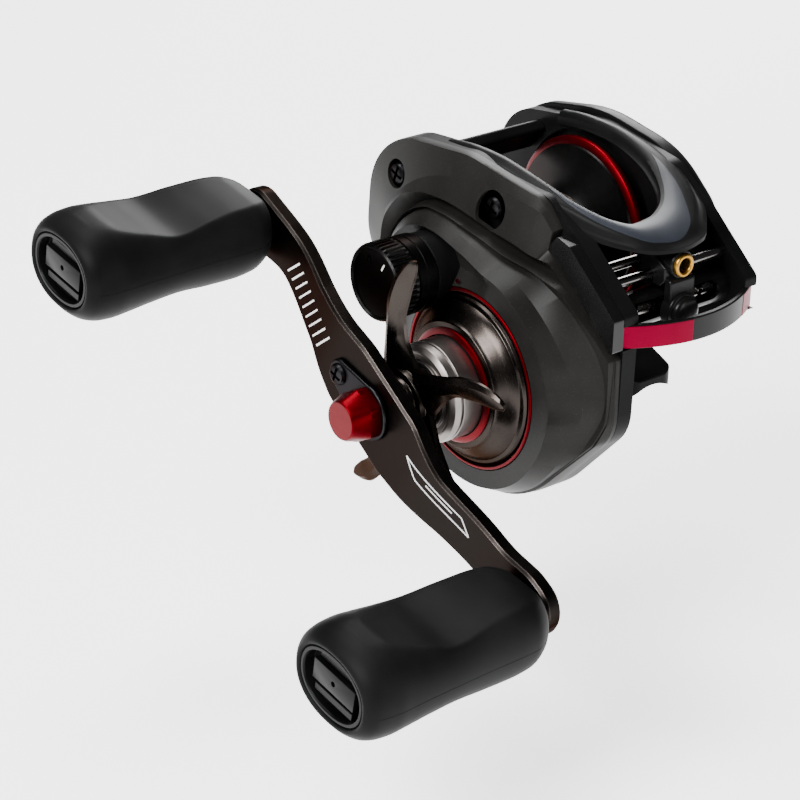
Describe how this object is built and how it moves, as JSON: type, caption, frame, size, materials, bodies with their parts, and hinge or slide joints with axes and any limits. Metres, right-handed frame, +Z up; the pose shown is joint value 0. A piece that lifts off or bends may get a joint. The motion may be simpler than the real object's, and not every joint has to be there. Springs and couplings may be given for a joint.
{
  "type": "fishing reel",
  "caption": "Low-profile baitcasting reel with a swept double crank, star drag, level wind, cast control cap and a hooded spool.",
  "frame": {"origin": "on the rod's axis under the middle of the reel foot, where the foot's concave underside is centred", "axes": "+X towards the palm side (the crank is at -X), +Y along the rod towards the angler, +Z up away from the rod"},
  "size_m": [0.117, 0.107, 0.0743],
  "materials": {
    "frame_black": "satin black anodised",
    "cover_speckle": "matte with fine metallic speckle",
    "cover_black": "satin black",
    "slate_panel": "satin blue-grey",
    "gloss_black": "gloss",
    "bar_black": "satin black",
    "red_inlay": "satin red",
    "red_anodised": "anodised red",
    "black_steel": "black oxide",
    "gunmetal": "polished gunmetal",
    "gunmetal_bright": "polished gunmetal",
    "gunmetal_dark": "satin gunmetal",
    "bearing_steel": "polished",
    "yoke_plastic": "acetal",
    "brass_gear": "machined",
    "carbon_drag": "woven carbon",
    "knob_grip": "soft matte",
    "knob_cap": "satin black",
    "spool_black": "gloss black anodised",
    "gold_ring": "polished titanium nitride",
    "cap_black": "satin black"
  },
  "bodies": {
    "frame": {"frame": "frame_black", "gear_cover": "cover_speckle", "hood": "cover_black", "hood_panel": "slate_panel", "pillar_trim": "gloss_black", "front_bar": "bar_black", "bar_inlays": "red_inlay", "cover_screws": "black_steel", "outer_ring": "red_anodised", "drag_dish": "gunmetal", "inner_ring": "red_anodised", "clutch_housing": "gunmetal_bright", "clutch_shell": "bearing_steel", "clutch_rollers": "bearing_steel", "shaft_bearing": "bearing_steel", "index_dot": "red_inlay", "upper_bar": "bearing_steel", "lower_bar": "bearing_steel", "worm_tube": "bar_black", "spool_bearing_frame": "bearing_steel", "spool_bearing_cover": "bearing_steel", "clutch_yoke": "yoke_plastic", "cap_stud": "cover_black", "idler_pin": "bearing_steel"},
    "crank": {"drive_shaft": "bearing_steel", "main_gear": "brass_gear", "level_drive_gear": "yoke_plastic", "drive_collar": "bearing_steel", "drag_washers": "carbon_drag", "drag_plates": "bearing_steel", "drag_hub": "bearing_steel", "clutch_sleeve": "bearing_steel", "spring_washers": "bearing_steel", "crank_arm": "gunmetal_dark", "nut_retainer": "black_steel", "retainer_screw": "black_steel", "handle_nut": "red_anodised", "knob_spindles": "bearing_steel"},
    "star": {"star_wheel": "gunmetal_bright"},
    "rear_knob": {"knob_rear": "knob_grip", "knob_cap_rear": "knob_cap"},
    "front_knob": {"knob_front": "knob_grip", "knob_cap_front": "knob_cap"},
    "spool": {"spool": "spool_black", "spool_ring": "red_anodised", "spool_arbor": "gunmetal_bright", "spool_shaft": "bearing_steel"},
    "pinion": {"pinion": "brass_gear"},
    "idler": {"idler_gear": "yoke_plastic"},
    "worm": {"worm_shaft": "bearing_steel", "worm_gear": "yoke_plastic"},
    "guide": {"line_carriage": "bar_black", "line_eyelet": "gold_ring", "pawl": "bearing_steel", "pawl_cap": "bar_black"},
    "thumb_bar": {"thumb_bar": "cover_black"},
    "cast_cap": {"cast_cap": "cap_black"},
    "palm_cover": {"palm_cover": "cover_black", "brake_post": "bearing_steel"},
    "brake_dial": {"brake_dial": "cap_black"}
  },
  "joints": [
    {"name": "crank_spin", "type": "hinge", "parent": "frame", "child": "crank", "pos_m": [-0.04, -0.0085, 0.0085], "axis": [1, 0, 0], "continuous": true},
    {"name": "star_turn", "type": "hinge", "parent": "crank", "child": "star", "pos_m": [-0.042, -0.0085, 0.0085], "axis": [1, 0, 0], "range_deg": [-360, 360]},
    {"name": "rear_knob_spin", "type": "hinge", "parent": "crank", "child": "rear_knob", "pos_m": [-0.065, 0.03324, 0.0326], "axis": [1, 0, 0], "continuous": true},
    {"name": "front_knob_spin", "type": "hinge", "parent": "crank", "child": "front_knob", "pos_m": [-0.065, -0.05024, -0.0156], "axis": [1, 0, 0], "continuous": true},
    {"name": "spool_spin", "type": "hinge", "parent": "frame", "child": "spool", "pos_m": [0, 0.00473, 0.0271], "axis": [1, 0, 0], "continuous": true},
    {"name": "pinion_spin", "type": "hinge", "parent": "frame", "child": "pinion", "pos_m": [-0.02, 0.00473, 0.0271], "axis": [1, 0, 0], "continuous": true},
    {"name": "idler_spin", "type": "hinge", "parent": "frame", "child": "idler", "pos_m": [-0.016, -0.02157, 0.01857], "axis": [1, 0, 0], "continuous": true},
    {"name": "worm_spin", "type": "hinge", "parent": "frame", "child": "worm", "pos_m": [0, -0.03247, 0.02696], "axis": [1, 0, 0], "continuous": true},
    {"name": "guide_slide", "type": "slide", "parent": "frame", "child": "guide", "axis": [1, 0, 0], "range_m": [-0.008, 0.01]},
    {"name": "thumb_press", "type": "slide", "parent": "frame", "child": "thumb_bar", "axis": [0, 0.6428, -0.766], "range_m": [0, 0.0035]},
    {"name": "cap_turn", "type": "hinge", "parent": "frame", "child": "cast_cap", "pos_m": [-0.035, 0.00473, 0.0271], "axis": [1, 0, 0], "range_deg": [-180, 180]},
    {"name": "palm_cover_off", "type": "slide", "parent": "frame", "child": "palm_cover", "axis": [1, 0, 0], "range_m": [0, 0.03]},
    {"name": "dial_turn", "type": "hinge", "parent": "palm_cover", "child": "brake_dial", "pos_m": [0.023, 0.00473, 0.0271], "axis": [1, 0, 0], "range_deg": [0, 270]}
  ],
  "couplings": [
    {"joint": "spool_spin", "follows": "crank_spin", "ratio": -5.3846},
    {"joint": "pinion_spin", "follows": "crank_spin", "ratio": -5.3846},
    {"joint": "idler_spin", "follows": "crank_spin", "ratio": -0.66667},
    {"joint": "worm_spin", "follows": "crank_spin", "ratio": 1.7143}
  ]
}
